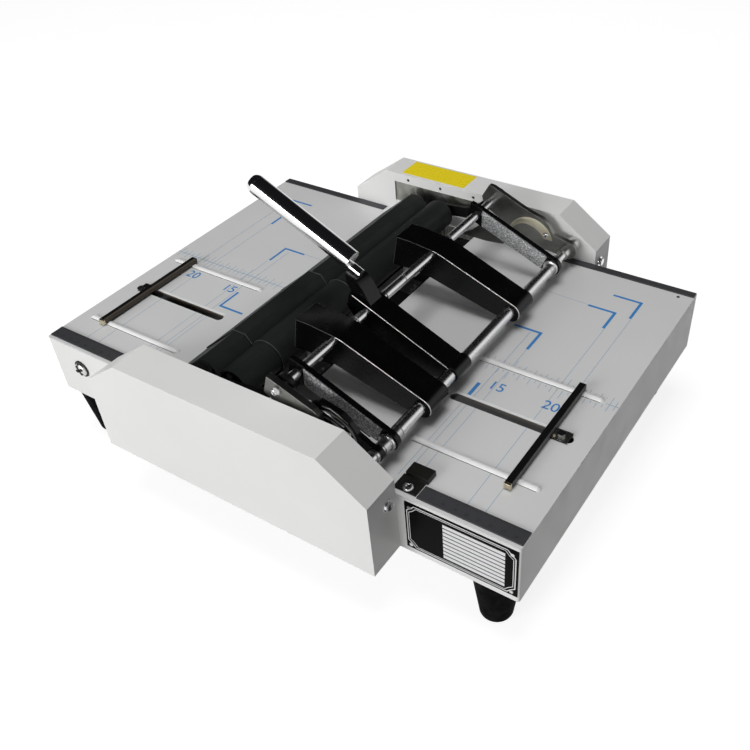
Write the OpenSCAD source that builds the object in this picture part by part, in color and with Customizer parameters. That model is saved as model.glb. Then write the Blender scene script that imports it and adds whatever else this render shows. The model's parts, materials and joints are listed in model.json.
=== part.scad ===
// Desktop booklet stapler and folder, drawn in millimetres with +Z up.
// Origin: floor level, midway along the base and midway between the two side housings.
// Inside the modules X is counted from the staple line; place() moves it to the origin.
// X runs from the left table to the right table, Y from the near side to the far side.

/* [Base and tables] */
// Height of the table top above the floor
table_z = 117; // [100:1:130]
// Height of the sheet-metal base box
base_h = 60; // [50:1:75]
// Length of the base along the paper path
base_len = 492; // [460:2:540]
// Distance from the middle of the base to the staple line
base_off = 2; // [0:1:10]
// Half width of the base across the paper path
base_half = 176.5; // [160:0.5:190]
// Sheet thickness of base, tables and housings
sheet = 1.5; // [1:0.1:2]
// Height of the rubber feet
foot_h = 57; // [40:1:70]

/* [Side housings] */
// Thickness of each side housing
house_t = 34.5; // [28:0.5:45]
// Height of the housing top above the table
house_top = 44; // [36:1:55]
// Half length of the housing top
house_top_half = 102.5; // [90:0.5:120]
// Half length of the whole housing
house_half = 144; // [130:1:160]
// Height above the table where the end slope starts
house_slope = 14.7; // [8:0.1:25]

/* [Shafts and arms] */
// Distance of the front shaft from the staple line
front_x = 120; // [110:0.5:135]
// Height of the front shaft above the table
front_z = 18; // [16:0.5:28]
// Radius of the front shaft
front_r = 4.3; // [4:0.1:6]
// Distance of the rear shaft from the staple line
rear_x = 39.5; // [35:0.5:50]
// Height of the rear shaft above the table
rear_z = 53; // [48:0.5:60]
// Radius of the rear shaft
rear_r = 3.2; // [3:0.1:5]
// Width of each stapler arm
arm_w = 27; // [24:0.5:36]
// Near face of the near stapler arm
near_arm_y = -104; // [-130:0.5:-90]
// Near face of the far stapler arm
far_arm_y = 43; // [30:0.5:60]
// Near face of the press lever
lever_y = -58.5; // [-75:0.5:-40]
// Width of the press lever
lever_w = 22.5; // [18:0.5:30]

/* [Handle] */
// Radius of the handle tube
handle_r = 8.6; // [7:0.1:12]
// Length of the handle tube
handle_len = 103; // [80:1:160]
// Rise of the handle tube above level
handle_rise = 26; // [10:0.1:60]

/* [Folding unit] */
// Distance of the fold line from the staple line
fold_x = -25; // [-30:0.5:-20]
// Radius of the fold rollers
roller_r = 10; // [8:0.5:12]
// Depth of the roller axes below the table
roller_z = -16; // [-20:0.5:-14]

/* [Paper stops] */
// Place of the right stop bar
right_stop_x = 213; // [150:0.5:222]
// Place of the left stop bar
left_stop_x = -211.5; // [-216:0.5:-150]

/* [Hidden] */
$fn = 48;
base_z0 = table_z - base_h;
x_lo = base_off - base_len / 2;
x_hi = base_off + base_len / 2;
outer_y = base_half + house_t;
gap = 0.3;
fit = 0.05;
cover_end = 160;
arm_r = 9.4;
lever_r = 7.2;
lever_mid = lever_y + lever_w / 2;
plate_in = base_half + sheet;
plate_t = 3;
plate_out = plate_in + plate_t;
roller_off = roller_r + 0.8;
axle_r = 3.5;
slot_r = 4.3;
right_slot_y = -62;
left_slot_y = -75.2;
right_clamp_x = right_stop_x + 9.6;
left_clamp_x = left_stop_x - 7.3;
mag_w = 16;
gear_teeth = 18;
eps = 0.01;

// Plain building blocks

// Raises its children to the table top.
module on_table() {
    translate([0, 0, table_z]) children();
}

// Extrudes an XZ outline from y0 to y1.
module along_y(y0, y1) {
    translate([0, y1, 0]) rotate([90, 0, 0]) linear_extrude(height = y1 - y0) children();
}

// Moves the staple line to its place beside the middle of the base.
module place() {
    translate([-base_off, 0, 0]) children();
}

// Places its children on both sides, the second mirrored in Y.
module both_sides() {
    children();
    mirror([0, 1, 0]) children();
}

// A rod along Y.
module rod(x, z, r, y0, y1) {
    translate([x, y0, z]) rotate([-90, 0, 0]) cylinder(h = y1 - y0, r = r);
}

// A box given by two opposite corners.
module block(a, b) {
    translate(a) cube(b - a);
}

// A flat rounded outline in XY.
module rounded(x0, x1, y0, y1, r) {
    translate([x0 + r, y0]) square([x1 - x0 - 2 * r, y1 - y0]);
    translate([x0, y0 + r]) square([x1 - x0, y1 - y0 - 2 * r]);
    for (x = [x0 + r, x1 - r], y = [y0 + r, y1 - r]) translate([x, y]) circle(r);
}

// Base box, feet and tables

// Folded base box, open above and inside the bottom flange.
module base_tray() {
    color("white") difference() {
        translate([0, 0, base_z0]) linear_extrude(height = base_h - sheet)
            rounded(x_lo, x_hi, -base_half, base_half, 2);
        translate([0, 0, base_z0 + sheet]) linear_extrude(height = base_h)
            rounded(x_lo + sheet, x_hi - sheet, -base_half + sheet, base_half - sheet, 0.8);
        translate([0, 0, base_z0 - 1]) linear_extrude(height = sheet + 2)
            rounded(x_lo + 50, x_hi - 50, -base_half + 45, base_half - 45, 8);
        on_table() for (s = [-1, 1]) rod(fold_x + s * roller_off, roller_z, axle_r + 0.6,
            -base_half - 1, base_half + 1);
    }
}

// Turned feet, wide at the base box and rounded at the floor.
module rubber_feet() {
    foot_x = [x_lo + 21.5, x_hi - 30];
    color("black") for (x = foot_x, y = [-154.5, 154.5]) translate([x, y, 0]) rotate_extrude()
        difference() {
            union() {
                polygon([[0, 0], [9, 0], [14, 5], [21, foot_h], [0, foot_h]]);
                translate([9, 5]) circle(5);
            }
            translate([-10, -1]) square([10, foot_h + 2]);
            translate([-1, -1]) square([5, 7]);
        }
}

// Bolts that hold the feet, inside the base on its bottom flange.
module foot_bolts() {
    foot_x = [x_lo + 21.5, x_hi - 30];
    color("silver") for (x = foot_x, y = [-154.5, 154.5]) translate([x, y, foot_h + sheet]) {
        cylinder(h = 4, r = 5.5, $fn = 6);
        translate([0, 0, 3.9]) cylinder(h = 4, r = 3);
    }
}

// Right table with the stop slot and two raised beads.
module right_table() {
    color("lightgrey") on_table() {
        translate([0, 0, -sheet]) linear_extrude(height = sheet) difference() {
            rounded(13, x_hi, -base_half, base_half, 2);
            rounded(122, 233, right_slot_y - slot_r, right_slot_y + slot_r, slot_r - 0.1);
        }
        block([13, -base_half + 4, -12], [13 + sheet, base_half - 4, -eps]);
        slot_collar(122, 233, right_slot_y);
        bead(117, 235, -7);
        bead(120.6, 235, -120.5);
    }
}

// Left table with the stop slot, two raised beads and the notches for the knife ears.
module left_table() {
    edge = fold_x - 4.5;
    color("lightgrey") on_table() {
        translate([0, 0, -sheet]) linear_extrude(height = sheet) difference() {
            rounded(x_lo, edge, -base_half, base_half, 2);
            rounded(-231.3, -119.7, left_slot_y - slot_r, left_slot_y + slot_r, slot_r - 0.1);
            for (y = [-172, 148]) translate([edge - 14, y]) square([20, 24]);
        }
        slot_collar(-231.3, -119.7, left_slot_y);
        bead(-235, -117, -20.5);
        bead(-233, -118, -133);
        block([edge - sheet, -146, -5], [edge, 146, -eps]);
    }
}

// Edge of a stop slot, folded down below the table sheet.
module slot_collar(x0, x1, y) {
    difference() {
        block([x0 - 1, y - slot_r - 1, -9.5], [x1 + 1, y + slot_r + 1, -sheet + 0.2]);
        block([x0, y - slot_r, -10], [x1, y + slot_r, 0]);
    }
}

// A raised bead pressed up in the table sheet.
module bead(x0, x1, y) {
    intersection() {
        union() {
            translate([x0 + 3, y, -2.2]) rotate([0, 90, 0]) cylinder(h = x1 - x0 - 6, r = 3.6);
            for (x = [x0 + 3, x1 - 3]) translate([x, y, -2.2]) sphere(3.6);
        }
        block([x0 - 2, y - 6, -0.2], [x1 + 2, y + 6, 5]);
    }
}

// Narrow plate between the fold slot and the anvil rail.
module fold_plate() {
    color("lightgrey") on_table() {
        block([fold_x + 4.5, -147, -sheet], [-6, 147, 0]);
        block([fold_x + 4.5, -147, -5], [fold_x + 4.5 + sheet, 147, -eps]);
    }
}

// Two channels below the tables that carry the table edges.
module deck_beams() {
    color("silver") on_table() {
        for (x = [-75, 22]) difference() {
            block([x, -base_half + sheet, -30], [x + 20, base_half - sheet, -sheet]);
            block([x + 2, -base_half, -31], [x + 18, base_half, -sheet - 2]);
        }
    }
}

// Black rail at the staple line, carrying the anvils.
module anvil_rail() {
    color("black") on_table() difference() {
        block([-5.5, -158, -8], [12, 158, -0.3]);
        for (y = [near_arm_y, far_arm_y]) block([-4.5, y + 2, -3], [11, y + arm_w - 2, 1]);
        for (y = [-146, -20, 90, 146]) translate([4, y, -2]) cylinder(h = 4, r = 2.2);
    }
    color("black") on_table() for (y = [-150, 0, 150]) {
        block([-2, y - 8, -30], [12.5, y + 8, -7.9]);
        block([12.4, y - 8, -30], [22, y + 8, -14]);
    }
}

// Anvil plates with the two bending grooves below each stapler.
module anvil_plates() {
    color("silver") on_table() for (y = [near_arm_y, far_arm_y]) difference() {
        block([-4.5, y + 2, -3], [11, y + arm_w - 2, -0.1]);
        for (s = [-1, 1]) translate([9, y + arm_w / 2 + s * 3.4, 2.2]) sphere(3.2);
    }
}

// Countersunk screws in the anvil rail.
module rail_screws() {
    color("silver") on_table() for (y = [-146, -20, 90, 146]) translate([4, y, -2]) difference() {
        cylinder(h = 1.9, r = 2.1);
        translate([-3, -0.35, 1.2]) cube([6, 0.7, 2]);
    }
}

// Side housings

// Side view of a housing, drawn inward by d.
module housing_outline(d) {
    polygon([[-house_half + d, -base_h], [house_half - d, -base_h],
        [house_half - d, house_slope - 0.35 * d], [house_top_half - 0.35 * d, house_top - d],
        [-house_top_half + 0.35 * d, house_top - d], [-house_half + d, house_slope - 0.35 * d]]);
}

// One folded housing on the far side; the near one is its mirror image.
module housing() {
    on_table() difference() {
        along_y(base_half, outer_y) housing_outline(0);
        along_y(base_half + sheet, outer_y - sheet) difference() {
            housing_outline(sheet);
        }
        block([-house_half + sheet, base_half + sheet, -base_h - 1],
            [house_half - sheet, outer_y - sheet, -base_h + 5]);
        block([-house_half + sheet, base_half - 1, -base_h - 1],
            [house_half - sheet, base_half + sheet + 1, -1]);
        block([-92, base_half - 1, 11], [10, base_half + sheet + 1, 34]);
        for (x = [-74.4, -34.2, 5.7]) rod(x, 38.4, 1.6, base_half - 1, base_half + 5);
        rod(front_x, front_z, front_r + 0.6, base_half - 1, base_half + 5);
        for (s = [-1, 1]) translate([s * (house_half - 1), base_half + 11.5, -2])
            rotate([0, 90, 0]) cylinder(h = 4, r = 3, center = true);
    }
}

module far_housing() {
    color("white") housing();
}

module near_housing() {
    color("white") mirror([0, 1, 0]) housing();
}

// Plate inside a housing that carries the shafts and the fold rollers.
module bearing_plate() {
    on_table() along_y(plate_in, plate_out) difference() {
        polygon([[-100, -48], [138, -48], [138, 12], [100, 38], [-98, 38], [-100, 36]]);
        translate([front_x, front_z]) circle(front_r);
        for (s = [-1, 1]) translate([fold_x + s * roller_off, roller_z]) circle(axle_r + fit);
        for (x = [-74.4, -34.2, 5.7]) translate([x, 34]) circle(1.4);
        translate([60, -20]) circle(14);
    }
}

module far_bearing_plate() {
    color("silver") bearing_plate();
}

module near_bearing_plate() {
    color("silver") mirror([0, 1, 0]) bearing_plate();
}

// Domed bolts with washers in the housing ends.
module housing_bolts() {
    color("silver") on_table() for (sx = [-1, 1]) both_sides()
        translate([sx * house_half, base_half + 11.5, -2]) rotate([0, sx * 90, 0]) {
            cylinder(h = 1, r = 5);
            translate([0, 0, 0.9]) cylinder(h = 2.6, r = 3.8, $fn = 6);
            translate([0, 0, -7]) cylinder(h = 7.2, r = 2.9);
        }
}

// Large cross-head screws in the left end of the base sides.
module side_screws() {
    color("silver") on_table() both_sides() translate([-206, base_half, -22.6])
        rotate([-90, 0, 0]) difference() {
            union() {
                cylinder(h = 1, r = 6.6);
                translate([0, 0, 0.9]) cylinder(h = 1.8, r1 = 5.2, r2 = 4);
            }
            for (a = [0, 90]) rotate([0, 0, a]) translate([-3, -0.6, 1.4]) cube([6, 1.2, 3]);
        }
}

// Front shaft, fixed between the two bearing plates.
module front_shaft() {
    color("silver") on_table() rod(front_x, front_z, front_r, -plate_out, plate_out);
}

// Bushes on the front shaft beside the links.
module shaft_bushes() {
    wide = [[-base_half, -174.6], [166, base_half]];
    slim = [[-168.2, -160], [-158, -150], [-143.2, -136], [117, 125], [131.8, 139], [150, 160.2]];
    color("silver") on_table() difference() {
        union() {
            for (v = wide) rod(front_x, front_z, front_r + 3.4, v[0], v[1]);
            for (v = slim) rod(front_x, front_z, front_r + 1.2, v[0], v[1]);
        }
        rod(front_x, front_z, front_r, -base_half - 1, base_half + 1);
    }
}

// Centre cover over the folding unit

// Solid form of the cover, grown by g.
module cover_form(y0, y1, g) {
    along_y(y0, y1) polygon([[-99.5 - g, 0.8], [-59.5 - g, 34.3 + g], [-47, 34.3 + g],
        [-40.2, 25.2 + g], [-36.5, 25.2 + g], [-36.5, 0.8]]);
    rod(fold_x, 20, 15.2 + g, y0, y1);
}

// One length of the folded cover sheet, open below and around the knife guides.
module cover_piece(y0, y1, g) {
    on_table() difference() {
        cover_form(y0, y1, g);
        along_y(y0 - 1, y1 + 1) polygon([[-97, -1], [-96.3, 0.8], [-58.6, 32.4], [-48, 32.4],
            [-41.8, 24], [-40.8, 22.6], [-36, 22.6], [-36, -1]]);
        rod(fold_x, 20, 13.4, y0 - 1, y1 + 1);
        block([-42, y0 - 1, -1], [-19, y1 + 1, 16]);
        for (y = [-cover_end - 1, 148]) block([-42, y, -1], [-12.1, y + 13, 22.6]);
    }
}

module cover_near() {
    color("black") cover_piece(-cover_end, -116.5, 0);
}

module cover_middle() {
    color("black") cover_piece(-116.5, -12, 1.3);
}

module cover_far() {
    color("black") cover_piece(-12, cover_end, 0);
}

// End plates that carry the cover clear of the paper, with feet on the left table.
module cover_brackets() {
    color("black") on_table() both_sides() {
        along_y(cover_end, cover_end + 1)
            polygon([[-98, 0], [-98, 2], [-59.5, 33.4], [-47, 33.4], [-45, 30], [-45, 0]]);
        block([-98, cover_end + 0.9, 0], [-45, cover_end + 11, 1.2]);
    }
}

// Upright guides for the ends of the knife bar.
module knife_guides() {
    color("silver") on_table() both_sides() {
        block([fold_x - 11, 150, -10.5], [fold_x - 9, 158, 22]);
        block([fold_x - 30, 150, -3.5], [fold_x - 10.9, 158, -sheet]);
        block([fold_x + 10.3, 150, -10.5], [fold_x + 12.3, 158, 22]);
        block([fold_x + 12.2, 150, -8], [-5.5, 158, -5]);
    }
}

// Rulers, guide and plates on the base

module ruler(x0, x1, y0, y1) {
    block([x0, y0, 0], [x1, y1, 1.2]);
}

module near_rulers() {
    color("dimgrey") on_table() {
        ruler(160, x_hi - 0.5, -173.5, -160);
        ruler(x_lo + 1, -145, -173.5, -160);
    }
}

module far_rulers() {
    color("dimgrey") on_table() {
        ruler(145, x_hi - 0.5, 167.5, 175.5);
        ruler(x_lo + 1, -145, 167.5, 175.5);
    }
}

// Small black side guide with its screw tab.
module side_guide() {
    color("black") on_table() {
        block([141, -158, 0], [160.5, -146, 5]);
        block([139, -172.5, 0], [159, -157, 1.4]);
        translate([149.8, -168, 1.3]) difference() {
            cylinder(h = 1.8, r = 3.8);
            for (a = [0, 90]) rotate([0, 0, a]) translate([-2.4, -0.45, 0.9]) cube([4.8, 0.9, 2]);
        }
    }
}

// Bare plate on the near face of the base.
module nameplate() {
    color("black") on_table() block([151.5, -base_half - 0.8, -54], [246.5, -base_half, -3.5]);
}

// Four rivets in the corners of the bare plate.
module plate_rivets() {
    color("silver") on_table() for (x = [156, 242], z = [-49.5, -8])
        rod(x, z, 1.6, -base_half - 1.6, -base_half - 0.8);
}

// Press frame: lever, handle, arms, links and shafts

// One stapler arm, folded from sheet and open below.
module arm(y) {
    y1 = y + arm_w;
    nx = front_x + 0.5;
    nz = front_z - 1;
    on_table() difference() {
        union() {
            along_y(y, y1) polygon([[1.5, 61], [17, 60.3], [40, 57.6], [48, 55.6],
                [nx + 2.5, nz + 8.2], [nx - 1, nz - 8.7], [104, 9.8], [33, 29], [12, 30.5],
                [-4.5, 30]]);
            rod(nx, nz, arm_r, y, y1);
        }
        along_y(y + 2, y1 - 2) polygon([[3.4, 58.8], [17, 58.1], [40, 55.3], [48, 53.4],
            [nx, 24], [nx, 0], [-2.4, 0], [-2.4, 29]]);
        rod(nx, nz, arm_r - 1.9, y + 2, y1 - 2);
        rod(front_x, front_z, front_r + fit, y - 1, y1 + 1);
        rod(rear_x, rear_z, rear_r, y - 1, y1 + 1);
    }
}

module near_arm() {
    color("black") arm(near_arm_y);
}

module far_arm() {
    color("black") arm(far_arm_y);
}

// Central lever that carries the handle.
module press_lever() {
    y1 = lever_y + lever_w;
    color("black") on_table() difference() {
        union() {
            along_y(lever_y, y1) polygon([[23, 66.3], [front_x + 0.8, 22.4], [front_x - 1, 11.6],
                [100, 9.9], [76, 20], [44, 33], [29, 38], [19.5, 53]]);
            rod(front_x, front_z, lever_r, lever_y, y1);
        }
        along_y(lever_y + 3, y1 - 3) polygon([[24, 62.6], [112, 23.1], [112, 0], [24, 0]]);
        rod(front_x, front_z, front_r + fit, lever_y - 1, y1 + 1);
        rod(rear_x, rear_z, rear_r, lever_y - 1, y1 + 1);
    }
}

// Moves its children into the handle's own line: +X runs down the tube to its lower end.
module on_handle() {
    translate([21, lever_mid, table_z + 91]) rotate([0, handle_rise, 0]) children();
}

// Black block that joins the handle to the lever.
module handle_socket() {
    color("black") difference() {
        on_table() along_y(lever_mid - 8, lever_mid + 8)
            polygon([[24, 65.85], [19.4, 72], [18.2, 82.4], [30, 77], [35, 71], [42, 57.78]]);
        on_handle() tube_and_stud();
    }
}

module tube_and_stud() {
    rotate([0, 90, 0]) translate([0, 0, -handle_len]) cylinder(h = handle_len, r = handle_r);
    translate([-2, 0, -6]) rotate([0, 90, 0]) cylinder(h = 14, r = 4.2);
}

// Chrome handle tube with the stud below its lower end.
module handle_tube() {
    color("silver") on_handle() tube_and_stud();
}

// Domed end cap of the handle tube.
module handle_cap() {
    color("silver") on_handle() translate([-handle_len, 0, 0]) difference() {
        sphere(handle_r);
        translate([0, -20, -20]) cube(40);
        translate([-30, -20, -20]) cube([24.5, 40, 40]);
    }
}

// Plate of a link: an outline with a round front end about the front shaft.
module link_body(outline, r1, y0, y1) {
    along_y(y0, y1) polygon(concat(outline, [[front_x + 0.37 * r1, front_z + 0.89 * r1],
        [front_x - 0.37 * r1, front_z - 0.89 * r1]]));
    rod(front_x, front_z, r1, y0, y1);
}

module link_bores(y0, y1) {
    rod(front_x, front_z, front_r + fit, y0 - 1, y1 + 1);
    rod(rear_x, rear_z, rear_r, y0 - 1, y1 + 1);
}

// Inner link with its square rear end.
module inner_link(y0) {
    on_table() difference() {
        link_body([[36, 43.6], [28.5, 47], [32, 63.5], [41, 60.8]], 8.8, y0, y0 + 5);
        link_bores(y0, y0 + 5);
    }
}

module inner_link_near() {
    color("black") inner_link(-148.5);
}

module inner_link_far() {
    color("black") inner_link(126.5);
}

// Outer link, a deep plate with a crescent window.
module outer_link(y0) {
    on_table() difference() {
        link_body([[100, 12], [84, 11], [60, 25], [28, 43], [25, 53], [33, 66.5], [38, 66],
            [72, 51.3], [83, 47.5], [92, 45], [99, 39.5], [105, 31]], 9.5, y0, y0 + 5);
        link_bores(y0, y0 + 5);
        crescent(0, y0 - 1, y0 + 6);
    }
}

// Crescent form of the window, drawn inward by g.
module crescent(g, y0, y1) {
    difference() {
        rod(80, 18, 25 - g, y0, y1);
        rod(75, 12.5, 23 + g, y0 - 1, y1 + 1);
        block([40, y0 - 1, -20], [120, y1 + 1, 24 + g]);
    }
}

module outer_link_near() {
    color("grey") outer_link(-173.5);
}

module outer_link_far() {
    color("grey") outer_link(160.5);
}

// Brass channels in the crescent windows, each with its screw.
module link_liners() {
    color("gold") on_table() for (y0 = [-174.3, 159.7]) {
        difference() {
            crescent(0, y0, y0 + 5.8);
            crescent(1.6, y0 - 1, y0 + 3.2);
        }
        rod(97, 28.6, 2.6, y0 - 1.6, y0 + 3.4);
    }
}

// Textured grip strips on the near face of the inner links.
module link_pads() {
    color("silver") on_table() for (y0 = [-149.7, 125.3]) along_y(y0, y0 + 1.2)
        polygon([[45.5, 58.6], [115.5, 28.2], [109.4, 14], [44.5, 41.8]]);
}

// Rear shaft through arms, lever and links.
module rear_shaft() {
    color("silver") on_table() rod(rear_x, rear_z, rear_r, -175.2, 171);
}

// Fingers that carry the knife bar down with the press frame.
module knife_fingers() {
    color("black") on_table() {
        finger(-165.2, -161.4, -150);
        finger(166.2, 150, 166.4);
    }
}

// One finger with its pin from p0 to p1.
module finger(y0, p0, p1) {
    difference() {
        union() {
            along_y(y0, y0 + 4) polygon([[rear_x - 5, rear_z + 5.4], [20, 41], [4, 31],
                [fold_x, 28.2], [fold_x, 15.8], [6, 20.4], [22, 32], [rear_x + 3, rear_z - 7]]);
            rod(rear_x, rear_z, 8, y0, y0 + 4);
            rod(fold_x, 22, 6.5, y0, y0 + 4);
        }
        rod(rear_x, rear_z, rear_r, y0 - 1, y0 + 5);
    }
    rod(fold_x, 22, 4, p0, p1);
}

// Sleeves on the rear shaft between arms, lever and links.
module shaft_collars() {
    spans = [[-160.4, -149.9], [-143.5, -110], [-74, -63.5], [-32, -4], [-2.5, 37.5], [73, 120],
        [131.5, 160.5]];
    color("silver") on_table() for (v = spans) difference() {
        rod(rear_x, rear_z, rear_r + 1, v[0], v[1]);
        rod(rear_x, rear_z, rear_r, v[0] - 1, v[1] + 1);
    }
}

// Driver blades fixed in the rear ends of the arms.
module driver_blades() {
    color("silver") on_table() for (y = [near_arm_y, far_arm_y])
        translate([0, y + arm_w / 2, 0]) {
            block([8.5, -6, 23.5], [9.3, 6, 58.4]);
            block([7, -9, 54], [16, 9, 58.1]);
        }
}

// Stapler magazines

// One magazine with its staple head and the channels for pusher and driver.
module magazine(y) {
    yc = y + arm_w / 2;
    on_table() difference() {
        union() {
            along_y(yc - mag_w / 2, yc + mag_w / 2) polygon([[3, 18.2], [16, 18.2], [16, 30],
                [24, 32], [104, 13], [front_x, front_z - 5.6], [front_x, front_z + 5.6],
                [104, 26.2], [24, 46], [12.5, 48.6], [12.5, 34.5], [3, 34.5]]);
            rod(front_x, front_z, 6.1, yc - mag_w / 2, yc + mag_w / 2);
        }
        along_y(yc - 6.5, yc + 6.5) polygon([[10, 36.9], [96, 16.5], [96, 26.8], [10, 47.2]]);
        block([6.6, yc - 6.5, 17], [10.2, yc + 6.5, 51]);
        rod(front_x, front_z, front_r + fit, yc - 20, yc + 20);
    }
}

module near_magazine() {
    color("silver") magazine(near_arm_y);
}

module far_magazine() {
    color("silver") magazine(far_arm_y);
}

// Staple pusher inside a magazine.
module pusher(y) {
    yc = y + arm_w / 2;
    on_table() along_y(yc - 6, yc + 6)
        polygon([[22, 34.5], [36, 31.2], [36, 40.4], [22, 43.7]]);
}

module near_pusher() {
    color("grey") pusher(near_arm_y);
}

module far_pusher() {
    color("grey") pusher(far_arm_y);
}

// Folding unit

// Knife bar with an ear and a pin slot at each end.
module knife_bar() {
    color("dimgrey") on_table() {
        difference() {
            block([fold_x - 2.5, -150, 18.5], [fold_x + 2.5, 150, 29.5]);
            block([fold_x - 0.4, -140, 17], [fold_x + 0.4, 140, 24]);
        }
        both_sides() along_y(149.9, 157.5) difference() {
            translate([fold_x - 8, 16.3]) square([17.8, 12.1]);
            translate([fold_x, 17.85]) square([2.3, 8.3]);
            for (x = [0, 2.3]) translate([fold_x + x, 22]) circle(4.15);
        }
    }
}

// Thin folding blade clamped in the knife bar.
module knife_blade() {
    color("silver") on_table()
        block([fold_x - 0.4, -140, 4], [fold_x + 0.4, 140, 24]);
}

// Rubber sleeve of a fold roller.
module sleeve(x) {
    on_table() difference() {
        rod(x, roller_z, roller_r, -146, 146);
        rod(x, roller_z, axle_r, -147, 147);
    }
}

module left_roller() {
    color("dimgrey") sleeve(fold_x - roller_off);
}

module right_roller() {
    color("dimgrey") sleeve(fold_x + roller_off);
}

module left_axle() {
    color("silver") on_table() rod(fold_x - roller_off, roller_z, axle_r, -192, plate_out + 3);
}

module right_axle() {
    color("silver") on_table() rod(fold_x + roller_off, roller_z, axle_r, -192, plate_out + 3);
}

// Spur gear outside the near bearing plate, turned by a.
module gear(x, a) {
    on_table() translate([x, -190, roller_z]) rotate([-90, 0, 0]) linear_extrude(height = 7)
        difference() {
            union() {
                circle(9.4);
                for (i = [0 : gear_teeth - 1]) rotate(a + i * 360 / gear_teeth)
                    polygon([[9, -1], [12, -0.48], [12, 0.48], [9, 1]]);
            }
            circle(axle_r);
        }
}

module left_gear() {
    color("silver") gear(fold_x - roller_off, 0);
}

module right_gear() {
    color("silver") gear(fold_x + roller_off, 180 / gear_teeth);
}

// Paper stops

// Stop bar on the beads with the clamp foot over the slot.
module stop_bar(x, y0, y1, foot_y, hole_x) {
    side = sign(hole_x - x);
    on_table() difference() {
        union() {
            block([x - 3, y0, 1.6], [x + 3, y1, 6.2]);
            block([min(x, hole_x + side * 7), foot_y - 6, 0.2],
                [max(x, hole_x + side * 7), foot_y + 6, 1.7]);
        }
        block([x - 1.6, foot_y + 8, 1.5], [x + 1.6, y1 - 8, 4.8]);
        block([x - 1.6, y0 + 8, 1.5], [x + 1.6, foot_y - 8, 4.8]);
        translate([hole_x, foot_y, 0]) cylinder(h = 5, r = 2.45);
    }
}

module right_stop() {
    color("black") stop_bar(right_stop_x, -130.5, -1.5, right_slot_y, right_clamp_x);
}

module left_stop() {
    color("black") stop_bar(left_stop_x, -137, -15, left_slot_y, left_clamp_x);
}

// Clamp screw through the slot with its knurled nut below the table.
module clamp(x, y) {
    on_table() translate([x, y, 0]) {
        translate([0, 0, 1.8]) cylinder(h = 2.2, r = 3.2, $fn = 6);
        translate([0, 0, -19]) cylinder(h = 21, r = 2.4);
        translate([0, 0, -17]) cylinder(h = 7, r = 9);
        for (a = [0 : 30 : 330]) rotate([0, 0, a]) translate([9, 0, -17])
            cylinder(h = 7, r = 1, $fn = 16);
    }
}

module right_clamp() {
    color("silver") clamp(right_clamp_x, right_slot_y);
}

module left_clamp() {
    color("silver") clamp(left_clamp_x, left_slot_y);
}

place() base_tray();
place() right_table();
place() left_table();
place() fold_plate();
place() deck_beams();
place() anvil_rail();
place() anvil_plates();
place() near_housing();
place() far_housing();
place() near_bearing_plate();
place() far_bearing_plate();
place() front_shaft();
place() cover_near();
place() cover_middle();
place() cover_far();
place() cover_brackets();
place() knife_guides();
place() near_rulers();
place() far_rulers();
place() side_guide();
place() nameplate();
place() plate_rivets();
place() housing_bolts();
place() side_screws();
place() rail_screws();
place() rubber_feet();
place() foot_bolts();
place() shaft_bushes();
place() press_lever();
place() handle_socket();
place() handle_tube();
place() handle_cap();
place() near_arm();
place() far_arm();
place() rear_shaft();
place() inner_link_near();
place() inner_link_far();
place() outer_link_near();
place() outer_link_far();
place() link_pads();
place() link_liners();
place() knife_fingers();
place() shaft_collars();
place() driver_blades();
place() near_magazine();
place() far_magazine();
place() near_pusher();
place() far_pusher();
place() knife_bar();
place() knife_blade();
place() left_roller();
place() right_roller();
place() left_axle();
place() right_axle();
place() left_gear();
place() right_gear();
place() right_stop();
place() right_clamp();
place() left_stop();
place() left_clamp();
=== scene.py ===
# Booklet stapler and folder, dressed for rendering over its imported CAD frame
import bpy, bmesh, json, math
from mathutils import Matrix, Vector


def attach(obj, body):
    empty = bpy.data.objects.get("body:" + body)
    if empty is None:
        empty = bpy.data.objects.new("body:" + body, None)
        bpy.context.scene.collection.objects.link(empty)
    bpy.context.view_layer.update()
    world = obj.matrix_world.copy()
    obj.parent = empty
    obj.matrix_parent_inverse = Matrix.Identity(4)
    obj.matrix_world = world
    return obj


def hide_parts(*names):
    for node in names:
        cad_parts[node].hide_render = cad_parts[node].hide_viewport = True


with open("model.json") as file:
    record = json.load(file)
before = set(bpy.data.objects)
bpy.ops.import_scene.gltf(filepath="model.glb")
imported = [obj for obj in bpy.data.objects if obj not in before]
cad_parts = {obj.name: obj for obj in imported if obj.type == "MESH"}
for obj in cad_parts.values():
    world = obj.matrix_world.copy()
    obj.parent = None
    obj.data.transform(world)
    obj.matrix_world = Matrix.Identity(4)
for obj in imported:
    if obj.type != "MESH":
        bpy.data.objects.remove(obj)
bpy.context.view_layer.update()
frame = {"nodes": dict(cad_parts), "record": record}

nodes = frame["nodes"]
scene = bpy.context.scene
BODY = {n: b for b, ns in frame["record"]["behaviour"]["bodies"].items() for n in ns}
SLOT = {s["node"]: s["material_slot"] for s in frame["record"]["subparts"]}
BASE = "frame"
SWING = BODY["press_lever"]

# Shared places, in millimetres about the staple line and the table top, with Y towards the back

S = 0.001  # metres in a millimetre
TABLE_HEIGHT = 117.0
STAPLE_LINE_X = -2.0  # in the row frame
SLOT_X = {"right": (122.0, 233.0), "left": (-231.3, -119.7)}
SLOT_Y = {"right": -62.0, "left": -75.2}
NEAR_RULER_EDGE = -160.0  # towards the table's middle
FAR_RULER_Y = (167.5, 175.5)
FRONT_SHAFT = (120, 18)  # centre in X and Z
REAR_SHAFT = (39.5, 53)


def P(x, y, z=0.0):
    """Millimetres about the staple line and the table top, as metres in the row frame."""
    return Vector(((x + STAPLE_LINE_X) * S, y * S, (TABLE_HEIGHT + z) * S))


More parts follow.
